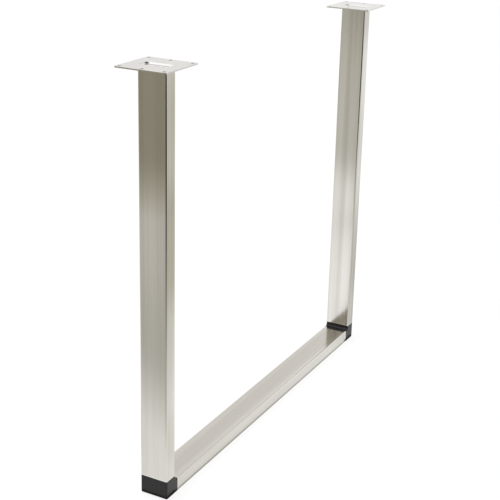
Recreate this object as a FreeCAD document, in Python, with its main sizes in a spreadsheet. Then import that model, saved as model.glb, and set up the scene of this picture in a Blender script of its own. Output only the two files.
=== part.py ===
"""U-shaped table leg: two upright tubes and a floor rail, plugged together by corner connectors.

A drilled plate on top of each upright carries the table top, and the frame stands on the rail.
X runs along the rail, Y across its width and Z up, with the origin on the floor under the
middle of the rail.
"""
import FreeCAD
import Part
import Sketcher
import math
import os

# Driving dimensions in millimetres
SIZES = {
    "overall_height": 710,
    "overall_width": 740,
    "tube_width": 50,
    "tube_depth": 25,
    "tube_wall": 1.5,
    "tube_round": 2.5,
    "bore_round": 1,
    "tube_deburr": 0.4,
    "plate_side": 89,
    "plate_thick": 2,
    "plate_round": 3,
    "plate_lip": 1,
    "seat_clearance": 0.1,
    "window_bevel": 0.6,
    "weld_reach": 4,
    "weld_height": 4.2,
    "weld_round": 2,
    "weld_bevel": 3.7,
    "hole_diameter": 5.5,
    "hole_spacing": 76,
    "holes_per_row": 3,
    "elbow_reach": 8,
    "elbow_outer_round": 4,
    "elbow_inner_round": 6,
    "spigot_length": 42,
    "spigot_wall": 2.5,
    "spigot_bevel": 2,
    "spigot_floor": 4,
    "spigot_lead": 1.2,
    "fit_clearance": 0.1,
    "rib_height": 0.6,
    "rib_thick": 2,
    "rib_pitch": 7,
    "rib_start": 4,
    "ribs_per_spigot": 5,
}

# Sizes that follow from the driving ones
BORE_WIDTH = "(Sizes.tube_width - 2 * Sizes.tube_wall)"
BORE_DEPTH = "(Sizes.tube_depth - 2 * Sizes.tube_wall)"
CORNER_REACH = "(Sizes.tube_depth + Sizes.elbow_reach)"
RIB_WIDTH = f"({BORE_WIDTH} - 2 * Sizes.fit_clearance)"
RIB_DEPTH = f"({BORE_DEPTH} - 2 * Sizes.fit_clearance)"
CORE_WIDTH = f"({RIB_WIDTH} - 2 * Sizes.rib_height)"
CORE_DEPTH = f"({RIB_DEPTH} - 2 * Sizes.rib_height)"
CELL_WIDTH = f"(({CORE_WIDTH} - 3 * Sizes.spigot_wall) / 2)"
CELL_DEPTH = f"({CORE_DEPTH} - 2 * Sizes.spigot_wall)"
LEG_CENTRE = "(Sizes.overall_width / 2 - Sizes.tube_depth / 2)"
PLATE_BOTTOM = "(Sizes.overall_height - Sizes.plate_thick)"
SEAT_DEPTH = "(Sizes.plate_thick - Sizes.plate_lip)"
WELD_TOP = "(Sizes.plate_thick - Sizes.window_bevel)"
LEG_LENGTH = f"(Sizes.overall_height - Sizes.plate_lip - {CORNER_REACH})"
RAIL_LENGTH = f"(Sizes.overall_width - 2 * {CORNER_REACH})"

NEAR = 1e-4


def make_sheet(doc):
    """Put the driving dimensions into a sheet, one named cell each."""
    sheet = doc.addObject("Spreadsheet::Sheet", "Sizes")
    for row, (name, value) in enumerate(SIZES.items(), start=1):
        sheet.set(f"A{row}", name)
        sheet.set(f"B{row}", str(value))
        sheet.setAlias(f"B{row}", name)
    doc.recompute()


def make_body(doc, label):
    """Start a sub-part."""
    body = doc.addObject("PartDesign::Body", label)
    body.Label = label
    return body


def make_sketch(body, name, plane_role, offset=None):
    """Attach a sketch to an origin plane of the body, moved by offset expressions along its axes."""
    sketch = body.newObject("Sketcher::SketchObject", f"{body.Name}_{name}")
    plane = next(item for item in body.Origin.OriginFeatures if item.Role == plane_role)
    sketch.AttachmentSupport = [(plane, "")]
    sketch.MapMode = "FlatFace"
    for axis, expression in (offset or {}).items():
        sketch.setExpression(f"AttachmentOffset.Base.{axis}", expression)
    return sketch


def constrain(sketch, expression, *terms):
    """Add a dimension to the sketch and bind it to an expression."""
    value = float(sketch.evalExpression(expression))
    index = sketch.addConstraint(Sketcher.Constraint(*terms, value))
    sketch.setExpression(f"Constraints[{index}]", expression)


def add_rounded_rectangle(sketch, length, height, radius):
    """Draw a rounded rectangle about the sketch's origin, its length along x and its height along y."""
    half_x = float(sketch.evalExpression(length)) / 2
    half_y = float(sketch.evalExpression(height)) / 2
    r = float(sketch.evalExpression(radius))
    corners = ((1, 1), (-1, 1), (-1, -1), (1, -1))
    normal = FreeCAD.Vector(0, 0, 1)
    quarter = math.pi / 2
    arcs = []
    for turn, (side_x, side_y) in enumerate(corners):
        centre = FreeCAD.Vector(side_x * (half_x - r), side_y * (half_y - r), 0)
        circle = Part.Circle(centre, normal, r)
        arc = Part.ArcOfCircle(circle, turn * quarter, (turn + 1) * quarter)
        arcs.append(sketch.addGeometry(arc, False))
    for turn, arc in enumerate(arcs):
        following = arcs[(turn + 1) % len(arcs)]
        start = sketch.getPoint(arc, 2)
        end = sketch.getPoint(following, 1)
        line = sketch.addGeometry(Part.LineSegment(start, end), False)
        sketch.addConstraint(Sketcher.Constraint("Tangent", arc, 2, line, 1))
        sketch.addConstraint(Sketcher.Constraint("Tangent", line, 2, following, 1))
        direction = "Horizontal" if turn % 2 == 0 else "Vertical"
        sketch.addConstraint(Sketcher.Constraint(direction, line))
    for arc in arcs[1:]:
        sketch.addConstraint(Sketcher.Constraint("Equal", arcs[0], arc))
    sketch.addConstraint(Sketcher.Constraint("Symmetric", arcs[0], 3, arcs[2], 3, -1, 1))
    constrain(sketch, radius, "Radius", arcs[0])
    constrain(sketch, length, "DistanceX", arcs[1], 2, arcs[0], 1)
    constrain(sketch, height, "DistanceY", arcs[3], 1, arcs[0], 2)


def add_bevelled_rectangle(sketch, length, height, bevel):
    """Draw a rectangle with evenly cut corners about the sketch's origin, its length along x."""
    half_x = float(sketch.evalExpression(length)) / 2
    half_y = float(sketch.evalExpression(height)) / 2
    cut = float(sketch.evalExpression(bevel))
    right = [(half_x, half_y - cut), (half_x - cut, half_y)]
    upper = right + [(-x, y) for x, y in reversed(right)]
    lower = [(x, -y) for x, y in reversed(upper)]
    points = [FreeCAD.Vector(x, y, 0) for x, y in upper + lower]
    for start, end in zip(points, points[1:] + points[:1]):
        sketch.addGeometry(Part.LineSegment(start, end), False)
    count = len(points)
    for line in range(count):
        sketch.addConstraint(Sketcher.Constraint("Coincident", line, 2, (line + 1) % count, 1))
    for line in range(count // 4):
        sketch.addConstraint(Sketcher.Constraint("Symmetric", line, 1, count // 2 - 1 - line, 1, -2))
    for line in range(count // 2):
        sketch.addConstraint(Sketcher.Constraint("Symmetric", line, 1, count - 1 - line, 1, -1))
    constrain(sketch, length, "DistanceX", 3, 1, 0, 1)
    constrain(sketch, height, "DistanceY", 6, 1, 1, 1)
    constrain(sketch, bevel, "DistanceX", 1, 1, 0, 1)
    constrain(sketch, bevel, "DistanceY", 0, 1, 1, 1)


def add_pad(body, sketch, name, length, midplane=False, against_normal=False):
    """Pad a sketch along its normal, to both sides of it or against it."""
    pad = body.newObject("PartDesign::Pad", f"{body.Name}_{name}")
    pad.Profile = sketch
    pad.Midplane = midplane
    pad.Reversed = against_normal
    pad.setExpression("Length", length)
    body.Document.recompute()
    return pad


def add_pocket(body, sketch, name, depth=None, along_normal=False):
    """Cut a sketch into the body, to a depth or right through, and make sure that it cut something."""
    before = body.Shape.Volume
    pocket = body.newObject("PartDesign::Pocket", f"{body.Name}_{name}")
    pocket.Profile = sketch
    pocket.Reversed = along_normal
    if depth is None:
        pocket.Type = "ThroughAll"
    else:
        pocket.setExpression("Length", depth)
    body.Document.recompute()
    if not body.Shape.Volume < before:
        raise RuntimeError(f"{pocket.Name} cuts nothing")
    return pocket


def dress_edges(body, kind, name, size, chosen):
    """Fillet or chamfer the edges of the body's last feature that the chosen test picks."""
    base = body.Tip
    names = [f"Edge{i}" for i, edge in enumerate(base.Shape.Edges, start=1) if chosen(edge)]
    if not names:
        raise RuntimeError(f"{body.Name} has no edge for {name}")
    feature = body.newObject(f"PartDesign::{kind}", f"{body.Name}_{name}")
    feature.Base = (base, names)
    feature.setExpression("Radius" if kind == "Fillet" else "Size", size)
    body.Document.recompute()
    return feature


def lies_at(edge, axis, value):
    """Tell whether a whole edge lies in the plane where one coordinate has a value."""
    box = edge.BoundBox
    low = getattr(box, f"{axis}Min")
    high = getattr(box, f"{axis}Max")
    return abs(low - value) < NEAR and abs(high - value) < NEAR


def place(body, x="0", z="0"):
    """Bind the place of a sub-part along the rail and above the floor."""
    body.setExpression("Placement.Base.x", x)
    body.setExpression("Placement.Base.z", z)


def make_tube(doc, label, length):
    """Rectangular tube along Z, deep along X and wide along Y, standing on its lower cut end."""
    body = make_body(doc, label)
    section = make_sketch(body, "section", "XY_Plane")
    add_rounded_rectangle(section, "Sizes.tube_depth", "Sizes.tube_width", "Sizes.tube_round")
    add_rounded_rectangle(section, BORE_DEPTH, BORE_WIDTH, "Sizes.bore_round")
    add_pad(body, section, "length", length)
    half_depth = SIZES["tube_depth"] / 2
    half_width = SIZES["tube_width"] / 2
    bore_half_depth = half_depth - SIZES["tube_wall"]
    bore_half_width = half_width - SIZES["tube_wall"]
    ends = (body.Shape.BoundBox.ZMin, body.Shape.BoundBox.ZMax)

    def on_outside_of_end(edge):
        middle = edge.valueAt((edge.FirstParameter + edge.LastParameter) / 2)
        outside = abs(middle.x) > bore_half_depth + NEAR or abs(middle.y) > bore_half_width + NEAR
        return outside and any(lies_at(edge, "Z", end) for end in ends)

    dress_edges(body, "Chamfer", "deburr", "Sizes.tube_deburr", on_outside_of_end)
    return body


def add_weld(body):
    """Sloping weld bead round the inside of the window, on the plate's lip and the tube's bore."""
    ring = make_sketch(body, "weld_ring", "XY_Plane", {"z": WELD_TOP})
    add_rounded_rectangle(ring, BORE_DEPTH, BORE_WIDTH, "Sizes.bore_round")
    add_rounded_rectangle(
        ring,
        f"{BORE_DEPTH} - 2 * Sizes.weld_reach",
        f"{BORE_WIDTH} - 2 * Sizes.weld_reach",
        "Sizes.weld_round",
    )
    add_pad(body, ring, "weld", "Sizes.weld_height", against_normal=True)
    top = SIZES["plate_thick"] - SIZES["window_bevel"]
    opening = SIZES["tube_depth"] / 2 - SIZES["tube_wall"] - SIZES["weld_reach"]
    dress_edges(
        body, "Chamfer", "weld_slope", "Sizes.weld_bevel",
        lambda edge: lies_at(edge, "Z", top) and max(abs(v.X) for v in edge.Vertexes) < opening + NEAR,
    )


def add_screw_holes(body):
    """Two rows of screw holes along Y, one on each side of the tube."""
    pair = make_sketch(body, "hole_pair", "XY_Plane", {"z": "Sizes.plate_thick"})
    half = SIZES["hole_spacing"] / 2
    radius = SIZES["hole_diameter"] / 2
    for side in (-1, 1):
        centre = FreeCAD.Vector(side * half, -half, 0)
        pair.addGeometry(Part.Circle(centre, FreeCAD.Vector(0, 0, 1), radius), False)
    pair.addConstraint(Sketcher.Constraint("Equal", 0, 1))
    pair.addConstraint(Sketcher.Constraint("Symmetric", 0, 3, 1, 3, -2))
    constrain(pair, "Sizes.hole_diameter", "Diameter", 0)
    constrain(pair, "Sizes.hole_spacing", "DistanceX", 0, 3, 1, 3)
    constrain(pair, "Sizes.hole_spacing / 2", "DistanceY", 0, 3, -1, 1)
    first = add_pocket(body, pair, "first_holes")
    rows = body.newObject("PartDesign::LinearPattern", f"{body.Name}_hole_rows")
    rows.Originals = [first]
    rows.Direction = (pair, ["V_Axis"])
    rows.setExpression("Length", "Sizes.hole_spacing")
    rows.setExpression("Occurrences", "Sizes.holes_per_row")
    body.Tip = rows
    body.Document.recompute()


def make_plate(doc, label):
    """Square drilled plate, with a window over the tube's bore and a seat for the tube's end."""
    body = make_body(doc, label)
    outline = make_sketch(body, "outline", "XY_Plane")
    add_rounded_rectangle(outline, "Sizes.plate_side", "Sizes.plate_side", "Sizes.plate_round")
    add_pad(body, outline, "sheet", "Sizes.plate_thick")

    window = make_sketch(body, "window", "XY_Plane", {"z": "Sizes.plate_thick"})
    add_rounded_rectangle(window, BORE_DEPTH, BORE_WIDTH, "Sizes.bore_round")
    add_pocket(body, window, "window_cut")
    top = SIZES["plate_thick"]
    reach = SIZES["tube_width"] / 2
    dress_edges(
        body, "Chamfer", "window_rim", "Sizes.window_bevel",
        lambda edge: lies_at(edge, "Z", top) and max(abs(v.Y) for v in edge.Vertexes) < reach,
    )

    seat = make_sketch(body, "seat", "XY_Plane")
    add_rounded_rectangle(
        seat,
        "Sizes.tube_depth + 2 * Sizes.seat_clearance",
        "Sizes.tube_width + 2 * Sizes.seat_clearance",
        "Sizes.tube_round + Sizes.seat_clearance",
    )
    add_pocket(body, seat, "seat_cut", SEAT_DEPTH, along_normal=True)
    add_weld(body)
    add_screw_holes(body)
    return body


def add_spigot(body, name, plane_role, along_width, across):
    """Hollow ribbed plug that stands on a corner connector's end face.

    along_width names the sketch axis that runs along the tube's width, and across the other one.
    """
    sizes = {
        along_width: (CORE_WIDTH, RIB_WIDTH, CELL_WIDTH),
        across: (CORE_DEPTH, RIB_DEPTH, CELL_DEPTH),
    }
    core_x, rib_x, cell_x = sizes["x"]
    core_y, rib_y, cell_y = sizes["y"]
    seat = {across: "Sizes.tube_depth / 2"}

    core = make_sketch(body, f"{name}_core", plane_role, {**seat, "z": CORNER_REACH})
    add_bevelled_rectangle(core, core_x, core_y, "Sizes.spigot_bevel")
    add_pad(body, core, f"{name}_plug", "Sizes.spigot_length")
    tip_axis = "Z" if plane_role == "XY_Plane" else "X"
    tip = getattr(body.Shape.BoundBox, f"{tip_axis}Max")
    dress_edges(
        body, "Chamfer", f"{name}_lead", "Sizes.spigot_lead",
        lambda edge: lies_at(edge, tip_axis, tip),
    )

    rib_foot = f"{CORNER_REACH} + Sizes.rib_start"
    rib = make_sketch(body, f"{name}_rib", plane_role, {**seat, "z": rib_foot})
    add_bevelled_rectangle(rib, rib_x, rib_y, "Sizes.spigot_bevel")
    first = add_pad(body, rib, f"{name}_first_rib", "Sizes.rib_thick")
    ribs = body.newObject("PartDesign::LinearPattern", f"{body.Name}_{name}_ribs")
    ribs.Originals = [first]
    ribs.Direction = (rib, ["N_Axis"])
    ribs.setExpression("Length", "Sizes.rib_pitch * (Sizes.ribs_per_spigot - 1)")
    ribs.setExpression("Occurrences", "Sizes.ribs_per_spigot")
    body.Tip = ribs
    body.Document.recompute()

    for side, label in ((-1, "first"), (1, "second")):
        shift = f"{side} * ({CELL_WIDTH} + Sizes.spigot_wall) / 2"
        offset = {**seat, along_width: shift, "z": f"{CORNER_REACH} + Sizes.spigot_length"}
        cell = make_sketch(body, f"{name}_{label}_cell", plane_role, offset)
        add_bevelled_rectangle(cell, cell_x, cell_y, "Sizes.spigot_bevel")
        add_pocket(body, cell, f"{name}_{label}_hollow", "Sizes.spigot_length - Sizes.spigot_floor")


def make_connector(doc, label):
    """Moulded elbow: an L flush with the tubes, rounded like them, and a plug for each tube.

    The body's origin is the outer bottom corner, X towards the middle of the rail and Z up the upright.
    """
    body = make_body(doc, label)
    profile = make_sketch(body, "profile", "XZ_Plane")
    depth = SIZES["tube_depth"]
    reach = depth + SIZES["elbow_reach"]
    outline = ((0, 0), (reach, 0), (reach, depth), (depth, depth), (depth, reach), (0, reach))
    points = [FreeCAD.Vector(x, y, 0) for x, y in outline]
    for start, end in zip(points, points[1:] + points[:1]):
        profile.addGeometry(Part.LineSegment(start, end), False)
    count = len(points)
    for line in range(count):
        direction = "Horizontal" if line % 2 == 0 else "Vertical"
        profile.addConstraint(Sketcher.Constraint("Coincident", line, 2, (line + 1) % count, 1))
        profile.addConstraint(Sketcher.Constraint(direction, line))
    profile.addConstraint(Sketcher.Constraint("Coincident", 0, 1, -1, 1))
    constrain(profile, CORNER_REACH, "DistanceX", 0, 1, 0, 2)
    constrain(profile, "Sizes.tube_depth", "DistanceY", 1, 1, 1, 2)
    constrain(profile, CORNER_REACH, "DistanceY", 5, 2, 5, 1)
    constrain(profile, "Sizes.tube_depth", "DistanceX", 4, 2, 4, 1)
    add_pad(body, profile, "corner", "Sizes.tube_width", midplane=True)

    dress_edges(
        body, "Fillet", "outer_bend", "Sizes.elbow_outer_round",
        lambda edge: lies_at(edge, "X", 0) and lies_at(edge, "Z", 0),
    )
    dress_edges(
        body, "Fillet", "inner_bend", "Sizes.elbow_inner_round",
        lambda edge: lies_at(edge, "X", depth) and lies_at(edge, "Z", depth),
    )
    half_width = SIZES["tube_width"] / 2

    def runs_along_the_tubes(edge):
        beside = lies_at(edge, "Y", half_width) or lies_at(edge, "Y", -half_width)
        return beside and not lies_at(edge, "X", reach) and not lies_at(edge, "Z", reach)

    dress_edges(body, "Fillet", "long_edges", "Sizes.tube_round", runs_along_the_tubes)
    add_spigot(body, "upright", "XY_Plane", along_width="y", across="x")
    add_spigot(body, "rail", "YZ_Plane", along_width="x", across="y")
    return body


def check_document(doc, bodies):
    """Stop if anything in the document failed or a sub-part is not one sound solid."""
    for item in doc.Objects:
        if "Invalid" in item.State or "Error" in item.State:
            raise RuntimeError(f"{item.Name} failed: {item.State}")
    for body in bodies:
        shape = body.Shape
        if shape.isNull() or not shape.isValid() or len(shape.Solids) != 1:
            raise RuntimeError(f"{body.Label} is not one sound solid")


def main():
    doc = FreeCAD.newDocument("TableLeg")
    make_sheet(doc)
    half_turn = FreeCAD.Rotation(FreeCAD.Vector(0, 0, 1), 180)
    lying = FreeCAD.Rotation(FreeCAD.Vector(0, 1, 0), 90)
    bodies = []
    for side, sign in (("left", "-1"), ("right", "1")):
        tube = make_tube(doc, f"{side}_leg_tube", LEG_LENGTH)
        place(tube, f"{sign} * {LEG_CENTRE}", CORNER_REACH)
        plate = make_plate(doc, f"{side}_top_plate")
        place(plate, f"{sign} * {LEG_CENTRE}", PLATE_BOTTOM)
        connector = make_connector(doc, f"{side}_corner_connector")
        if side == "right":
            connector.Placement = FreeCAD.Placement(FreeCAD.Vector(), half_turn)
        place(connector, f"{sign} * Sizes.overall_width / 2")
        bodies += [tube, plate, connector]
    rail = make_tube(doc, "floor_rail_tube", RAIL_LENGTH)
    rail.Placement = FreeCAD.Placement(FreeCAD.Vector(), lying)
    place(rail, f"-1 * {RAIL_LENGTH} / 2", "Sizes.tube_depth / 2")
    bodies.append(rail)

    doc.recompute()
    check_document(doc, bodies)
    os.makedirs("parts", exist_ok=True)
    for body in bodies:
        body.Shape.exportStep(f"parts/{body.Label}.step")


main()
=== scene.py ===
"""Looks of the U-shaped table leg: brushed steel tubes, satin top plates and black moulded corners.

Everything is in metres in the part's own frame: X along the floor rail, Y across it, Z up.
"""
import math
import bpy
from mathutils import Matrix, Vector


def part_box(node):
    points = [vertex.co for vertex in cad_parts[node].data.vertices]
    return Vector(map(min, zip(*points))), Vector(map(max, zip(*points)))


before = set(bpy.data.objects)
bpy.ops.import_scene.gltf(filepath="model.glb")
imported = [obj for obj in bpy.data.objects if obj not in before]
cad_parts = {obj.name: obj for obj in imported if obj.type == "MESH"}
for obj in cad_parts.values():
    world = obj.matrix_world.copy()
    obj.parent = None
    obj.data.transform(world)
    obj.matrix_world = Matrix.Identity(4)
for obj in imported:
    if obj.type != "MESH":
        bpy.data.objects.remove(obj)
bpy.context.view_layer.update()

AXES = "XYZ"
UP = Vector((0, 0, 1))
BLACK = (0, 0, 0, 1)
WHITE = (1, 1, 1, 1)

# Camera, in metres and degrees, with the picture taken as a 500 pixel square
CAMERA_PLACE = Vector((-1.7254, -0.8928, 1.0365))
CAMERA_YAW = 28.0075
CAMERA_PITCH = 18.7789
CAMERA_ROLL = -1.4581
PICTURE_SIDE = 500
FOCAL_LENGTH_PIXELS = 1142.7
PRINCIPAL_POINT = (254, 216)
SENSOR_WIDTH_MM = 36

# Light
AMBIENT_STRENGTH = 0.8
LAMP_PLACE = Vector((-0.36, 0.97, 1.9))
LAMP_TARGET = Vector((0, 0, 0.3))
LAMP_SIDE = 1.6
LAMP_POWER = 9
LAMP_BACK = (0.01, 0.01, 0.01, 1)
LAMP_BACK_GAP = 0.01

# Floor, whose own glow is the share of it that the shadow leaves alone
FLOOR_HALF = 15
FLOOR_COLOUR = (0.93, 0.93, 0.925, 1)
FLOOR_ROUGHNESS = 0.9
FLOOR_GLOW = 0.75
FLOOR_GLOW_STRENGTH = 1.1

# Cards that only reflections see. The floor's has its shade against depth in the picture, then
# patches as place, inner and outer radius, and shade.
FLOOR_CARD_HALF = 7
FLOOR_CARD_HEIGHT = 0.001
FLOOR_SHADES = (
    (0.15, (1.0, 1.0, 1.0, 1)),
    (0.0, (0.97, 0.97, 0.96, 1)),
    (-0.12, (0.90, 0.90, 0.88, 1)),
    (-0.43, (0.93, 0.92, 0.90, 1)),
    (-0.57, (0.54, 0.53, 0.49, 1)),
    (-0.68, (0.58, 0.57, 0.52, 1)),
    (-0.83, (0.67, 0.65, 0.61, 1)),
    (-1.60, (0.60, 0.59, 0.53, 1)),
    (-2.50, (0.47, 0.45, 0.40, 1)),
    (-4.0, (0.40, 0.38, 0.33, 1)),
)
FLOOR_PATCHES = (
    ((-2.47, -1.53), 1.1, 2.7, (0.06, 0.05, 0.035, 1)),
    ((-3.31, 0.05), 0.5, 1.35, (0.22, 0.205, 0.17, 1)),
    ((-1.5, -3.0), 1.1, 2.4, (0.12, 0.105, 0.08, 1)),
    ((-1.25, -0.75), 0.2, 0.7, (0.60, 0.58, 0.54, 1)),
    ((-0.62, -0.30), 0.06, 0.32, (1.6, 1.6, 1.6, 1)),
    ((-1.0, 3.0), 0.8, 2.2, (0.30, 0.29, 0.25, 1)),
    ((-0.55, 1.0), 0.18, 0.40, (0.75, 0.74, 0.71, 1)),
    ((-0.42, 0.22), 0.07, 0.14, (0.78, 0.78, 0.76, 1)),
    ((2.3, 0.45), 0.5, 1.0, (0.60, 0.59, 0.55, 1)),
    ((0.75, 0.12), 0.12, 0.36, (0.65, 0.64, 0.60, 1)),
    ((0.12, -0.16), 0.14, 0.26, (0.89, 0.89, 0.88, 1)),
    ((0.66, -0.70), 0.3, 0.84, (0.53, 0.52, 0.43, 1)),
    ((1.6, -1.45), 0.35, 1.1, (0.57, 0.55, 0.49, 1)),
    ((2.6, -2.0), 0.3, 1.0, (0.65, 0.62, 0.56, 1)),
    ((4.6, -1.9), 0.5, 1.3, (0.70, 0.70, 0.68, 1)),
    ((0.42, -0.06), 0.03, 0.14, (0.78, 0.79, 0.80, 1)),
    ((0.80, -0.20), 0.15, 0.50, (0.94, 0.95, 0.98, 1)),
    ((-0.19, -0.13), 0.06, 0.11, (0.90, 0.90, 0.88, 1)),
)
# Painted contact shadow in dark strips where the part meets the floor: middle in X, half sizes and
# shade of each
CONTACT_SHADOW_HEIGHT = 0.0015
CONTACT_SHADOWS = (
    (0, (0.338, 0.0292), (0.52, 0.51, 0.48, 1)),
    (-0.357, (0.019, 0.0305), (0.10, 0.10, 0.09, 1)),
    (0.357, (0.019, 0.0305), (0.10, 0.10, 0.09, 1)),
)
CEILING_HALF = 6
CEILING_HEIGHT = 3.8
CEILING_SHADE = (0.72, 0.715, 0.70, 1)
# Dim room behind the camera and pale walls round the rest: bottom and top, shade from bottom to
# top, then both feet of each in the picture's depth and to its right
ROOM_SPAN = (0, 5)
ROOM_SHADES = ((0, (0.20, 0.19, 0.16, 1)), (0.7, (0.36, 0.34, 0.28, 1)), (1, (0.7, 0.7, 0.68, 1)))
WALL_SPAN = (1.35, 3.5)
WALL_SHADES = (
    (0, (0.94, 0.935, 0.92, 1)), (0.2, (0.82, 0.805, 0.785, 1)), (1, (0.78, 0.765, 0.74, 1)),
)
STANDING_CARDS = (
    ("room_card", (-4, -7), (-4, 2), ROOM_SPAN, ROOM_SHADES),
    ("backdrop_card", (4, -4), (4, 4), WALL_SPAN, WALL_SHADES),
    ("right_card", (4, 4), (-4, 4), WALL_SPAN, WALL_SHADES),
    ("left_card", (-1, -4), (4, -4), WALL_SPAN, WALL_SHADES),
)
# Dark flag beside the near leg, its feet in the part's frame
FLAG_FEET = ((-0.75, 0.36), (-0.75, -0.05))
FLAG_SPAN = (0.335, 1.2)
FLAG_SHADES = (
    (0, (0.50, 0.48, 0.41, 1)), (0.11, (0.28, 0.26, 0.20, 1)), (1, (0.29, 0.27, 0.22, 1)),
)

# Noise scales: for brush lines across and along the tube, otherwise along X, Y and Z
FINE_BRUSH = (900, 5)
BROAD_BRUSH = (60, 0.8)
SHEET_LINES = (600, 12, 600)
SHEET_CLOUD = (40, 40, 40)
WELD_LUMPS = (420, 420, 420)
MOULD_GRAIN = (1800, 1800, 1800)
MOULD_MOTTLE = (160, 160, 160)
# Parts of the noise's values that ramps and ranges are spread over
NOISE_SPAN = (0.3, 0.7)
BROAD_BRUSH_SPAN = (0.36, 0.64)

# Tubes. A finish's roughness is its least and most, and its relief a depth and a strength.
STEEL_COLOURS = ((0.68, 0.66, 0.62, 1), (0.82, 0.80, 0.76, 1))
STEEL_ROUGHNESS = (0.13, 0.19)
STEEL_RELIEF = (0.00005, 0.08)
STEEL_ANISOTROPY = 0.4
# Highlight painted at the tubes' sawn ends: its colour, its width in metres, and where it fades as
# a multiple of the width
CUT_END_HIGHLIGHT = (0.95, 0.945, 0.93, 1)
CUT_END_HIGHLIGHT_WIDTH = 0.0011
CUT_END_HIGHLIGHT_FADE = 1.3

# Top plates
PLATE_COLOURS = ((0.79, 0.785, 0.775, 1), (0.84, 0.835, 0.825, 1))
PLATE_ROUGHNESS = (0.20, 0.27)
PLATE_RELIEF = (0.00005, 0.05)
# Half of the plate's window, which holds the weld, across and along the tube
WINDOW_HALF = (0.0113, 0.0238)
# The weld's foot under the plate's top, its rise, and its colours up it: root and bead painted near
# white as the weld's highlight, with a grey line of painted shade between them
WELD_FOOT = -0.0045
WELD_RISE = 0.0040
WELD_SHADE_LINE = (0.30, 0.30, 0.29, 1)
WELD_COLOURS = (
    (0.26, (0.98, 0.975, 0.965, 1)),
    (0.31, WELD_SHADE_LINE),
    (0.41, WELD_SHADE_LINE),
    (0.46, (0.97, 0.965, 0.955, 1)),
)
WELD_ROUGHNESS = (0.35, 0.5)
WELD_RELIEF = (0.001, 0.6)
# Painted shade of a gap at one end of the weld: place from the middle of the plate's top, inner and
# outer radius, and the painted shade on each plate's
WELD_GAP_SHADE_PLACE = Vector((0.0078, 0.0236, -0.0006))
WELD_GAP_SHADE_RADII = (0.0020, 0.0058)
WELD_GAP_SHADES = {"left": (0.08, 0.08, 0.085, 1), "right": (0.60, 0.60, 0.60, 1)}

# Corner connectors
PLASTIC_COLOURS = ((0.005, 0.005, 0.0055, 1), (0.010, 0.010, 0.0105, 1))
PLASTIC_ROUGHNESS = (0.22, 0.30)
PLASTIC_RELIEF = (0.0001, 0.1)
PLASTIC_SPECULAR = 0.39


def start_material(name):
    """New node material with its shader ready."""
    material = bpy.data.materials.new(name)
    material.use_nodes = True
    tree = material.node_tree
    return material, tree.nodes, tree.links, tree.nodes["Principled BSDF"]


def add_noise(nodes, links, scale, detail):
    """Noise in the part's metres, drawn out by a different scale along each axis."""
    place = nodes.new("ShaderNodeTexCoord")
    stretch = nodes.new("ShaderNodeMapping")
    stretch.inputs["Scale"].default_value = scale
    noise = nodes.new("ShaderNodeTexNoise")
    noise.inputs["Scale"].default_value = 1
    noise.inputs["Detail"].default_value = detail
    links.new(place.outputs["Object"], stretch.inputs["Vector"])
    links.new(stretch.outputs["Vector"], noise.inputs["Vector"])
    return noise.outputs["Fac"]


def add_ramp(nodes, links, value, stops):
    """Colours along a value, from (position, colour) stops."""
    first, *middle, last = stops
    ramp = nodes.new("ShaderNodeValToRGB")
    elements = ramp.color_ramp.elements
    for element, (position, colour) in zip(elements, (first, last)):
        element.position = position
        element.color = colour
    for position, colour in middle:
        elements.new(position).color = colour
    links.new(value, ramp.inputs["Fac"])
    return ramp.outputs["Color"]


def add_range(nodes, links, value, ends):
    """A noise value spread over a range."""
    spread = nodes.new("ShaderNodeMapRange")
    spread.inputs["From Min"].default_value, spread.inputs["From Max"].default_value = NOISE_SPAN
    spread.inputs["To Min"].default_value, spread.inputs["To Max"].default_value = ends
    links.new(value, spread.inputs["Value"])
    return spread.outputs["Result"]


def add_bump(nodes, links, shader, height, relief):
    """Small relief on the shader's normal."""
    bump = nodes.new("ShaderNodeBump")
    bump.inputs["Distance"].default_value, bump.inputs["Strength"].default_value = relief
    links.new(height, bump.inputs["Height"])
    links.new(bump.outputs["Normal"], shader.inputs["Normal"])


def add_depth(nodes, links, direction, start, reach):
    """Share of the way along a direction, from start over a reach in metres."""
    place = nodes.new("ShaderNodeTexCoord")
    along = nodes.new("ShaderNodeVectorMath")
    along.operation = "DOT_PRODUCT"
    along.inputs[1].default_value = direction
    spread = nodes.new("ShaderNodeMapRange")
    spread.inputs["From Min"].default_value = start
    spread.inputs["From Max"].default_value = start + reach
    links.new(place.outputs["Object"], along.inputs[0])
    links.new(along.outputs["Value"], spread.inputs["Value"])
    return spread.outputs["Result"]


def add_patch(nodes, links, colour, centre, inner, outer, shade):
    """Tint a colour round a place."""
    place = nodes.new("ShaderNodeTexCoord")
    apart = nodes.new("ShaderNodeVectorMath")
    apart.operation = "DISTANCE"
    apart.inputs[1].default_value = centre
    spread = nodes.new("ShaderNodeMapRange")
    spread.inputs["From Min"].default_value = inner
    spread.inputs["From Max"].default_value = outer
    tint = nodes.new("ShaderNodeVectorMath")
    tint.operation = "MULTIPLY"
    links.new(place.outputs["Object"], apart.inputs[0])
    links.new(apart.outputs["Value"], spread.inputs["Value"])
    links.new(colour, tint.inputs[0])
    stops = ((0, shade), (1, WHITE))
    links.new(add_ramp(nodes, links, spread.outputs["Result"], stops), tint.inputs[1])
    return tint.outputs["Vector"]


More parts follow.
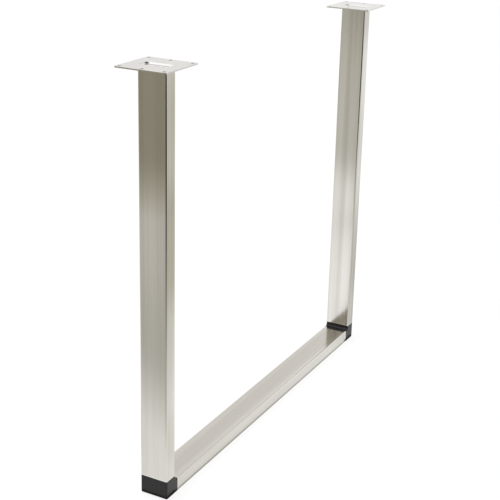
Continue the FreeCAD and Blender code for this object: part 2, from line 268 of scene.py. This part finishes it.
def add_window(nodes, links, centre):
    """1 inside the plate's window, 0 outside it."""
    place = nodes.new("ShaderNodeTexCoord")
    offset = nodes.new("ShaderNodeVectorMath")
    offset.operation = "SUBTRACT"
    offset.inputs[1].default_value = centre
    size = nodes.new("ShaderNodeVectorMath")
    size.operation = "ABSOLUTE"
    share = nodes.new("ShaderNodeVectorMath")
    share.operation = "DIVIDE"
    share.inputs[1].default_value = (*WINDOW_HALF, 1)
    split = nodes.new("ShaderNodeSeparateXYZ")
    furthest = nodes.new("ShaderNodeMath")
    furthest.operation = "MAXIMUM"
    inside = nodes.new("ShaderNodeMath")
    inside.operation = "LESS_THAN"
    inside.inputs[1].default_value = 1
    links.new(place.outputs["Object"], offset.inputs[0])
    links.new(offset.outputs["Vector"], size.inputs[0])
    links.new(size.outputs["Vector"], share.inputs[0])
    links.new(share.outputs["Vector"], split.inputs["Vector"])
    links.new(split.outputs["X"], furthest.inputs[0])
    links.new(split.outputs["Y"], furthest.inputs[1])
    links.new(furthest.outputs["Value"], inside.inputs[0])
    return inside.outputs["Value"]


def brush_scale(axis, brush):
    """Noise scale of brush lines along an axis of the frame."""
    across, along = brush
    return [along if letter == axis else across for letter in AXES]


def brushed_steel(name, axis, node):
    """Satin steel with brush lines along one axis of the frame, and a highlight painted at the
    tube's sawn ends.
    """
    material, nodes, links, shader = start_material(name)
    fine_lines = add_noise(nodes, links, brush_scale(axis, FINE_BRUSH), detail=3)
    broad_lines = add_noise(nodes, links, brush_scale(axis, BROAD_BRUSH), detail=2)
    low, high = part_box(node)
    start = low[AXES.index(axis)]
    length = high[AXES.index(axis)] - start
    # Highlight painted at both sawn ends of the tube, fading inwards
    edge = CUT_END_HIGHLIGHT_WIDTH / length
    fade = CUT_END_HIGHLIGHT_FADE * edge
    along = add_depth(nodes, links, Vector([letter == axis for letter in AXES]), start, length)
    stops = ((edge, WHITE), (fade, BLACK), (1 - fade, BLACK), (1 - edge, WHITE))
    ends = add_ramp(nodes, links, along, stops)
    brushed = add_ramp(nodes, links, broad_lines, zip(BROAD_BRUSH_SPAN, STEEL_COLOURS))
    mix = nodes.new("ShaderNodeMix")
    mix.data_type = "RGBA"
    mix.inputs["B"].default_value = CUT_END_HIGHLIGHT
    links.new(ends, mix.inputs["Factor"])
    links.new(brushed, mix.inputs["A"])
    links.new(mix.outputs["Result"], shader.inputs["Base Color"])
    links.new(add_range(nodes, links, fine_lines, STEEL_ROUGHNESS), shader.inputs["Roughness"])
    add_bump(nodes, links, shader, fine_lines, STEEL_RELIEF)
    shader.inputs["Metallic"].default_value = 1
    shader.inputs["Anisotropic"].default_value = STEEL_ANISOTROPY
    around = nodes.new("ShaderNodeTangent")
    around.direction_type = "RADIAL"
    around.axis = axis
    links.new(around.outputs["Tangent"], shader.inputs["Tangent"])
    return material


def plate_steel(name, node, gap_shade):
    """Pale satin sheet steel, with a lumpy weld in the plate's window, painted near white as its
    highlight, with painted shade in a grey line and in a gap at one end.
    """
    material, nodes, links, sheet = start_material(name)
    lines = add_noise(nodes, links, SHEET_LINES, detail=3)
    cloud = add_noise(nodes, links, SHEET_CLOUD, detail=2)
    pale = add_ramp(nodes, links, cloud, zip(NOISE_SPAN, PLATE_COLOURS))
    links.new(pale, sheet.inputs["Base Color"])
    links.new(add_range(nodes, links, lines, PLATE_ROUGHNESS), sheet.inputs["Roughness"])
    add_bump(nodes, links, sheet, lines, PLATE_RELIEF)
    sheet.inputs["Metallic"].default_value = 1
    low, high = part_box(node)
    top = Vector(((low[0] + high[0]) / 2, (low[1] + high[1]) / 2, high[2]))
    weld = nodes.new("ShaderNodeBsdfPrincipled")
    # Weld colour up its slope: painted near white as its highlight, with a grey line painted as
    # shade
    slope = add_depth(nodes, links, UP, top.z + WELD_FOOT, WELD_RISE)
    bead_with_painted_light = add_ramp(nodes, links, slope, WELD_COLOURS)
    # Dark spot painted as the shade in a gap at one end of the weld
    bead_with_painted_light = add_patch(nodes, links, bead_with_painted_light, top + WELD_GAP_SHADE_PLACE, *WELD_GAP_SHADE_RADII, gap_shade)
    links.new(bead_with_painted_light, weld.inputs["Base Color"])
    weld.inputs["Metallic"].default_value = 1
    lumps = add_noise(nodes, links, WELD_LUMPS, detail=2)
    links.new(add_range(nodes, links, lumps, WELD_ROUGHNESS), weld.inputs["Roughness"])
    add_bump(nodes, links, weld, lumps, WELD_RELIEF)
    mix = nodes.new("ShaderNodeMixShader")
    links.new(add_window(nodes, links, top), mix.inputs["Fac"])
    links.new(sheet.outputs["BSDF"], mix.inputs[1])
    links.new(weld.outputs["BSDF"], mix.inputs[2])
    links.new(mix.outputs["Shader"], nodes["Material Output"].inputs["Surface"])
    return material


def moulded_plastic(name):
    """Black plastic with a fine moulded grain."""
    material, nodes, links, shader = start_material(name)
    grain = add_noise(nodes, links, MOULD_GRAIN, detail=2)
    mottle = add_noise(nodes, links, MOULD_MOTTLE, detail=3)
    dark = add_ramp(nodes, links, mottle, zip(NOISE_SPAN, PLASTIC_COLOURS))
    links.new(dark, shader.inputs["Base Color"])
    links.new(add_range(nodes, links, mottle, PLASTIC_ROUGHNESS), shader.inputs["Roughness"])
    add_bump(nodes, links, shader, grain, PLASTIC_RELIEF)
    shader.inputs["Specular IOR Level"].default_value = PLASTIC_SPECULAR
    return material


def dress(node, material):
    """Give a carried-over node its finish."""
    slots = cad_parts[node].data.materials
    slots.clear()
    slots.append(material)


def seen_directly(nodes, links):
    """1 for camera, glossy and transmission rays, 0 for the light that bounces."""
    path = nodes.new("ShaderNodeLightPath")
    total = path.outputs["Is Camera Ray"]
    for kind in ("Is Glossy Ray", "Is Transmission Ray"):
        either = nodes.new("ShaderNodeMath")
        either.operation = "MAXIMUM"
        links.new(total, either.inputs[0])
        links.new(path.outputs[kind], either.inputs[1])
        total = either.outputs["Value"]
    return total


def make_world():
    """White all round to the eye and in reflections, and a plain soft light on the object."""
    world = bpy.data.worlds.new("studio")
    world.use_nodes = True
    bpy.context.scene.world = world
    nodes = world.node_tree.nodes
    links = world.node_tree.links
    background = nodes["Background"]
    background.inputs["Color"].default_value = WHITE
    level = nodes.new("ShaderNodeMapRange")
    level.inputs["To Min"].default_value = AMBIENT_STRENGTH
    level.inputs["To Max"].default_value = 1
    links.new(seen_directly(nodes, links), level.inputs["Value"])
    links.new(level.outputs["Result"], background.inputs["Strength"])


def rectangle(half_x, half_y):
    """Corners of a rectangle round the origin, one after the other."""
    return [(-half_x, -half_y), (half_x, -half_y), (half_x, half_y), (-half_x, half_y)]


def flat_piece(name, corners):
    """Single flat face through its corners."""
    mesh = bpy.data.meshes.new(name)
    mesh.from_pydata([tuple(c) for c in corners], [], [tuple(range(len(corners)))])
    piece = bpy.data.objects.new(name, mesh)
    bpy.context.scene.collection.objects.link(piece)
    return piece


def make_floor():
    """Pale floor that keeps the shadow of the object."""
    floor = flat_piece("floor", [(x, y, 0) for x, y in rectangle(FLOOR_HALF, FLOOR_HALF)])
    material, nodes, links, shader = start_material("floor_paper")
    shader.inputs["Base Color"].default_value = FLOOR_COLOUR
    shader.inputs["Roughness"].default_value = FLOOR_ROUGHNESS
    shader.inputs["Specular IOR Level"].default_value = 0
    glow = nodes.new("ShaderNodeEmission")
    glow.inputs["Strength"].default_value = FLOOR_GLOW_STRENGTH
    share = nodes.new("ShaderNodeMath")
    share.operation = "MULTIPLY"
    share.inputs[1].default_value = FLOOR_GLOW
    mix = nodes.new("ShaderNodeMixShader")
    links.new(seen_directly(nodes, links), share.inputs[0])
    links.new(share.outputs["Value"], mix.inputs["Fac"])
    links.new(shader.outputs["BSDF"], mix.inputs[1])
    links.new(glow.outputs["Emission"], mix.inputs[2])
    links.new(mix.outputs["Shader"], nodes["Material Output"].inputs["Surface"])
    floor.data.materials.append(material)


def view_axes():
    """Level directions in the picture's depth and to its right."""
    yaw = math.radians(CAMERA_YAW)
    ahead = Vector((math.cos(yaw), math.sin(yaw), 0))
    right = Vector((math.sin(yaw), -math.cos(yaw), 0))
    return ahead, right


def make_card(name, corners, material):
    """Studio card that only shows in reflections."""
    card = flat_piece(name, corners)
    card.data.materials.append(material)
    card.visible_camera = False
    card.visible_diffuse = False
    card.visible_shadow = False
    card.visible_transmission = False
    card.visible_volume_scatter = False


def start_paper(name):
    """New glowing material for a card, with the socket for its colour."""
    material, nodes, links, shader = start_material(name)
    nodes.remove(shader)
    glow = nodes.new("ShaderNodeEmission")
    links.new(glow.outputs["Emission"], nodes["Material Output"].inputs["Surface"])
    return material, nodes, links, glow.inputs["Color"]


def even_paper(name, shade):
    """Card of one shade."""
    material, _, _, colour = start_paper(name)
    colour.default_value = shade
    return material


def shaded_paper(name, stops, direction, start, reach, patches=()):
    """Card whose shade runs along a direction, with patches on it."""
    material, nodes, links, target = start_paper(name)
    colour = add_ramp(nodes, links, add_depth(nodes, links, direction, start, reach), stops)
    for place, inner, outer, shade in patches:
        colour = add_patch(nodes, links, colour, (*place, FLOOR_CARD_HEIGHT), inner, outer, shade)
    links.new(colour, target)
    return material


def standing_card(name, feet, span, stops):
    """Upright card between two places on the floor, shaded from its bottom to its top."""
    bottom, top = span
    first, second = [tuple(foot)[:2] for foot in feet]
    paper = shaded_paper(name + "_paper", stops, UP, bottom, top - bottom)
    make_card(name, [(*first, bottom), (*second, bottom), (*second, top), (*first, top)], paper)


def level_card(name, middle, halves, height, material):
    """Level card round a place on the X axis."""
    make_card(name, [(middle + x, y, height) for x, y in rectangle(*halves)], material)


def make_cards():
    """Floor, painted contact shadows, ceiling, room, walls and flag, as the part reflects them."""
    ahead, right = view_axes()
    first = FLOOR_SHADES[0][0]
    reach = first - FLOOR_SHADES[-1][0]
    stops = [((first - depth) / reach, colour) for depth, colour in FLOOR_SHADES]
    paper = shaded_paper("floor_card_paper", stops, -ahead, -first, reach, FLOOR_PATCHES)
    level_card("floor_card", 0, (FLOOR_CARD_HALF, FLOOR_CARD_HALF), FLOOR_CARD_HEIGHT, paper)
    paper = even_paper("ceiling_paper", CEILING_SHADE)
    level_card("ceiling_card", 0, (CEILING_HALF, CEILING_HALF), CEILING_HEIGHT, paper)
    # Dark strips under the part, painted as its contact shadow in reflections
    for middle, halves, shade in CONTACT_SHADOWS:
        paper = even_paper("contact_shadow_paper", shade)
        level_card("contact_shadow_card", middle, halves, CONTACT_SHADOW_HEIGHT, paper)
    for name, *places, span, shades in STANDING_CARDS:
        feet = [ahead * depth + right * aside for depth, aside in places]
        standing_card(name, feet, span, shades)
    standing_card("near_flag", FLAG_FEET, FLAG_SPAN, FLAG_SHADES)


def make_lamp():
    """Soft square lamp above the part, with a dark back that hides the ceiling behind it."""
    light = bpy.data.lights.new("overhead_lamp", "AREA")
    light.size = LAMP_SIDE
    light.energy = LAMP_POWER
    lamp = bpy.data.objects.new("overhead_lamp", light)
    turn = (LAMP_TARGET - LAMP_PLACE).to_track_quat("-Z", "Y")
    lamp.location = LAMP_PLACE
    lamp.rotation_euler = turn.to_euler()
    bpy.context.scene.collection.objects.link(lamp)
    square = rectangle(LAMP_SIDE / 2, LAMP_SIDE / 2)
    corners = [LAMP_PLACE + turn @ Vector((x, y, LAMP_BACK_GAP)) for x, y in square]
    make_card("overhead_lamp_back", corners, even_paper("overhead_lamp_back_paper", LAMP_BACK))


def make_camera():
    """Camera that stands where the picture was taken from."""
    pitch = math.radians(CAMERA_PITCH)
    roll = math.radians(CAMERA_ROLL)
    level_ahead, level_right = view_axes()
    ahead = math.cos(pitch) * level_ahead - math.sin(pitch) * UP
    level_down = ahead.cross(level_right)
    right = math.cos(roll) * level_right + math.sin(roll) * level_down
    down = math.cos(roll) * level_down - math.sin(roll) * level_right
    data = bpy.data.cameras.new("camera")
    data.sensor_width = SENSOR_WIDTH_MM
    data.lens = FOCAL_LENGTH_PIXELS / PICTURE_SIDE * SENSOR_WIDTH_MM
    data.shift_x = 0.5 - PRINCIPAL_POINT[0] / PICTURE_SIDE
    data.shift_y = PRINCIPAL_POINT[1] / PICTURE_SIDE - 0.5
    camera = bpy.data.objects.new("camera", data)
    turn = Matrix((right, -down, -ahead)).transposed().to_4x4()
    camera.matrix_world = Matrix.Translation(CAMERA_PLACE) @ turn
    bpy.context.scene.collection.objects.link(camera)
    bpy.context.scene.camera = camera


upright_steel = brushed_steel("upright_steel", "Z", "left_leg_tube")
rail_steel = brushed_steel("rail_steel", "X", "floor_rail_tube")
black_plastic = moulded_plastic("black_plastic")
for side, gap_shade in WELD_GAP_SHADES.items():
    plate = f"{side}_top_plate"
    dress(f"{side}_leg_tube", upright_steel)
    dress(plate, plate_steel(f"{side}_sheet_steel", plate, gap_shade))
    dress(f"{side}_corner_connector", black_plastic)
dress("floor_rail_tube", rail_steel)

make_world()
make_floor()
make_cards()
make_lamp()
make_camera()
bpy.context.scene.view_settings.view_transform = "Standard"
